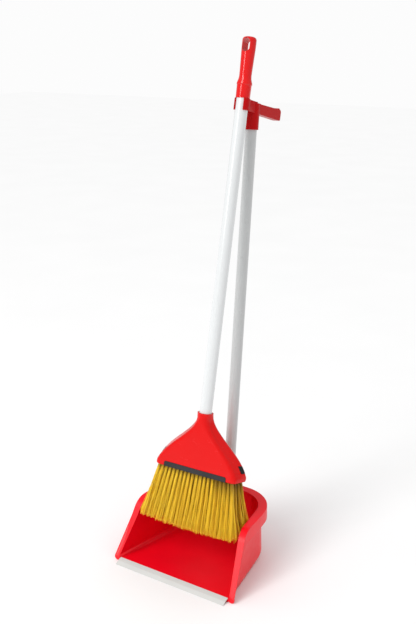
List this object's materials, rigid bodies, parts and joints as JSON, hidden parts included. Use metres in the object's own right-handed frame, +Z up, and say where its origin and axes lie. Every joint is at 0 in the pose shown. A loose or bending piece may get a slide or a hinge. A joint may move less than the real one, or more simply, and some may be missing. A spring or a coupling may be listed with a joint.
{
  "type": "dust pan and brush set",
  "caption": "Upright lobby dust pan on a pole, with a long-handled broom that hangs in the clip of the pan's handle moulding, its bristles inside the pan.",
  "frame": {"origin": "on the floor under the middle of the pan, on the pan's flat underside, in the plane of symmetry", "axes": "+Z up, -Y out of the pan's mouth, +X to the right looking out of the mouth backwards, that is to the right of someone who looks into the mouth"},
  "size_m": [0.2892, 0.4099, 1.0368],
  "materials": {
    "red_pan": "glossy injection-moulded polypropylene",
    "lip_strip": "soft satin elastomer strip",
    "pan_pole_coat": "satin grey coating on thin steel tube",
    "plug_plastic": "matt moulded plug",
    "screw_steel": "zinc-plated steel",
    "red_clip": "semi-gloss moulded plastic",
    "broom_pole_coat": "glossy white coating on thin steel tube",
    "red_grip": "glossy blow-moulded grip",
    "thread_plastic": "matt threaded insert",
    "red_head": "glossy injection-moulded shell",
    "block_plastic": "matt tuft block",
    "strip_plastic": "satin strip",
    "latch_plastic": "satin button",
    "bristle_yellow": "crimped plastic bristles"
  },
  "bodies": {
    "pan": {"pan_shell": "red_pan", "pan_lip": "lip_strip", "pan_pole": "pan_pole_coat", "foot_plug": "plug_plastic", "socket_screw": "screw_steel", "clip_handle": "red_clip", "top_plug": "plug_plastic", "sleeve_screw": "screw_steel"},
    "handle": {"broom_pole": "broom_pole_coat", "hanging_grip": "red_grip", "thread_insert": "thread_plastic", "insert_pin": "screw_steel"},
    "head": {"head_cover": "red_head", "bristle_block": "block_plastic", "scraper_strip": "strip_plastic", "bristles_front": "bristle_yellow", "bristles_mid_front": "bristle_yellow", "bristles_mid_back": "bristle_yellow", "bristles_back": "bristle_yellow"},
    "right_latch": {"latch_right": "latch_plastic"},
    "left_latch": {"latch_left": "latch_plastic"}
  },
  "joints": [
    {"name": "broom_lift", "type": "slide", "parent": "pan", "child": "handle", "axis": [0, 0.2113, 0.9774], "range_m": [0, 0.5]},
    {"name": "head_off", "type": "slide", "parent": "handle", "child": "head", "axis": [0, -0.2113, -0.9774], "range_m": [0, 0.04]},
    {"name": "latch_right_press", "type": "slide", "parent": "head", "child": "right_latch", "axis": [-0.9986, -0.0512, 0.0111], "range_m": [0, 0.0025], "stiffness_N_per_m": 300},
    {"name": "latch_left_press", "type": "slide", "parent": "head", "child": "left_latch", "axis": [0.9986, 0.0512, -0.0111], "range_m": [0, 0.0025], "stiffness_N_per_m": 300}
  ]
}
